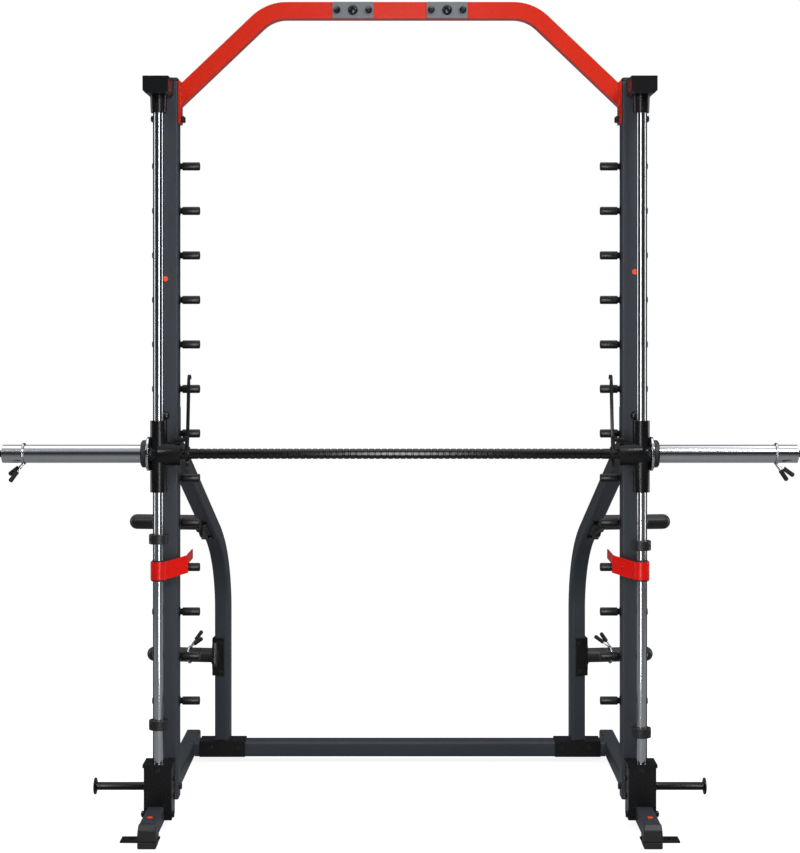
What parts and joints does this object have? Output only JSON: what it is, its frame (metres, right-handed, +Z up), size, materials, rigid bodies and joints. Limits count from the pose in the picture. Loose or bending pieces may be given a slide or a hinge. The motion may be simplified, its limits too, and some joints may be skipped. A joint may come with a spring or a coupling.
{
  "type": "smith machine",
  "caption": "Smith machine: uprights with rack pegs on base rails, a guided bar with parking hooks and plate sleeves, safety catches, storage horns and a bent pull-up bar.",
  "frame": {"origin": "on the floor, under the middle of the whole machine", "axes": "+Z up, front faces -Y, +X to the right seen from the front; the bar lies along X"},
  "size_m": [2.166, 1.15, 2.247],
  "materials": {
    "charcoal_powder_coat": "satin powder coat",
    "black_powder_coat": "satin powder coat",
    "orange_red_powder_coat": "gloss powder coat",
    "red_powder_coat": "gloss powder coat",
    "hard_chrome": "polished hard chrome",
    "zinc_plate": "bright zinc plate",
    "black_oxide_steel": "black oxide",
    "knurled_black_steel": "knurled, black zinc",
    "spring_steel": "bright drawn wire",
    "black_rubber": "matt",
    "black_plastic": "moulded, matt",
    "grey_plate": "satin grey",
    "orange_plastic": "moulded",
    "bearing_bronze": "sintered"
  },
  "bodies": {
    "frame": {"base_rail_left": "charcoal_powder_coat", "base_rail_right": "charcoal_powder_coat", "tube_end_plugs": "black_plastic", "rubber_feet": "black_rubber", "floor_anchors": "black_powder_coat", "upright_left": "charcoal_powder_coat", "upright_right": "charcoal_powder_coat", "rack_pegs_left": "black_powder_coat", "rack_pegs_right": "black_powder_coat", "peg_nuts": "black_oxide_steel", "foot_bracket_left": "black_powder_coat", "foot_bracket_right": "black_powder_coat", "foot_bracket_bolts": "black_oxide_steel", "guide_rod_left": "hard_chrome", "guide_rod_right": "hard_chrome", "top_arm_left": "black_powder_coat", "top_arm_right": "black_powder_coat", "rod_collars": "black_powder_coat", "rear_beam": "charcoal_powder_coat", "beam_saddles": "black_powder_coat", "beam_bolts": "black_oxide_steel", "brace_left": "charcoal_powder_coat", "brace_right": "charcoal_powder_coat", "brace_flanges": "charcoal_powder_coat", "brace_bolts": "black_oxide_steel", "upper_horns": "black_plastic", "lower_horns": "black_plastic", "horn_brackets": "black_powder_coat", "horn_bolts": "black_oxide_steel", "pullup_bar": "orange_red_powder_coat", "pullup_flanges": "orange_red_powder_coat", "pullup_plates": "grey_plate", "pullup_bolts": "black_oxide_steel", "band_pegs": "black_powder_coat", "stop_rings": "black_plastic", "marker_plugs": "orange_plastic"},
    "bar_carriages": {"carriage_left": "black_powder_coat", "carriage_right": "black_powder_coat", "linear_bushes": "bearing_bronze", "bar_bearings": "bearing_bronze", "sleeve_end_bolts": "black_oxide_steel"},
    "bar": {"bar_shaft": "knurled_black_steel", "hook_left": "black_powder_coat", "hook_right": "black_powder_coat"},
    "left_sleeve": {"sleeve_left": "hard_chrome", "sleeve_ring_left": "black_plastic"},
    "left_bar_clip": {"bar_clip_left": "spring_steel", "bar_clip_grips_left": "black_rubber"},
    "left_stored_clip": {"stored_clip_left": "spring_steel", "stored_clip_grips_left": "black_rubber"},
    "left_catch_bush": {"catch_bush_left": "black_plastic"},
    "left_catch": {"catch_left": "red_powder_coat"},
    "right_sleeve": {"sleeve_right": "hard_chrome", "sleeve_ring_right": "black_plastic"},
    "right_bar_clip": {"bar_clip_right": "spring_steel", "bar_clip_grips_right": "black_rubber"},
    "right_stored_clip": {"stored_clip_right": "spring_steel", "stored_clip_grips_right": "black_rubber"},
    "right_catch_bush": {"catch_bush_right": "black_plastic"},
    "right_catch": {"catch_right": "red_powder_coat"}
  },
  "joints": [
    {"name": "bar_lift", "type": "slide", "parent": "frame", "child": "bar_carriages", "axis": [0, 0, 1], "range_m": [-0.105, 0.75]},
    {"name": "bar_twist", "type": "hinge", "parent": "bar_carriages", "child": "bar", "pos_m": [0, -0.367, 1.0135], "axis": [1, 0, 0], "range_deg": [-8, 20]},
    {"name": "sleeve_left_spin", "type": "hinge", "parent": "bar_carriages", "child": "left_sleeve", "pos_m": [-0.87, -0.367, 1.0135], "axis": [1, 0, 0], "continuous": true},
    {"name": "bar_clip_left_slide", "type": "slide", "parent": "left_sleeve", "child": "left_bar_clip", "axis": [-1, 0, 0], "range_m": [-0.25, 0.075]},
    {"name": "stored_clip_left_slide", "type": "slide", "parent": "frame", "child": "left_stored_clip", "axis": [-0.991, 0.1336, 0], "range_m": [-0.028, 0.15]},
    {"name": "catch_left_lift", "type": "slide", "parent": "frame", "child": "left_catch_bush", "axis": [0, 0, 1], "range_m": [0, 0.04]},
    {"name": "catch_left_swing", "type": "hinge", "parent": "left_catch_bush", "child": "left_catch", "pos_m": [-0.653, -0.367, 0.698], "axis": [0, 0, -1], "range_deg": [0, 100]},
    {"name": "sleeve_right_spin", "type": "hinge", "parent": "bar_carriages", "child": "right_sleeve", "pos_m": [0.87, -0.367, 1.0135], "axis": [1, 0, 0], "continuous": true},
    {"name": "bar_clip_right_slide", "type": "slide", "parent": "right_sleeve", "child": "right_bar_clip", "axis": [1, 0, 0], "range_m": [-0.25, 0.075]},
    {"name": "stored_clip_right_slide", "type": "slide", "parent": "frame", "child": "right_stored_clip", "axis": [0.991, 0.1336, 0], "range_m": [-0.028, 0.15]},
    {"name": "catch_right_lift", "type": "slide", "parent": "frame", "child": "right_catch_bush", "axis": [0, 0, 1], "range_m": [0, 0.025]},
    {"name": "catch_right_swing", "type": "hinge", "parent": "right_catch_bush", "child": "right_catch", "pos_m": [0.653, -0.367, 0.698], "axis": [0, 0, 1], "range_deg": [0, 100]}
  ]
}
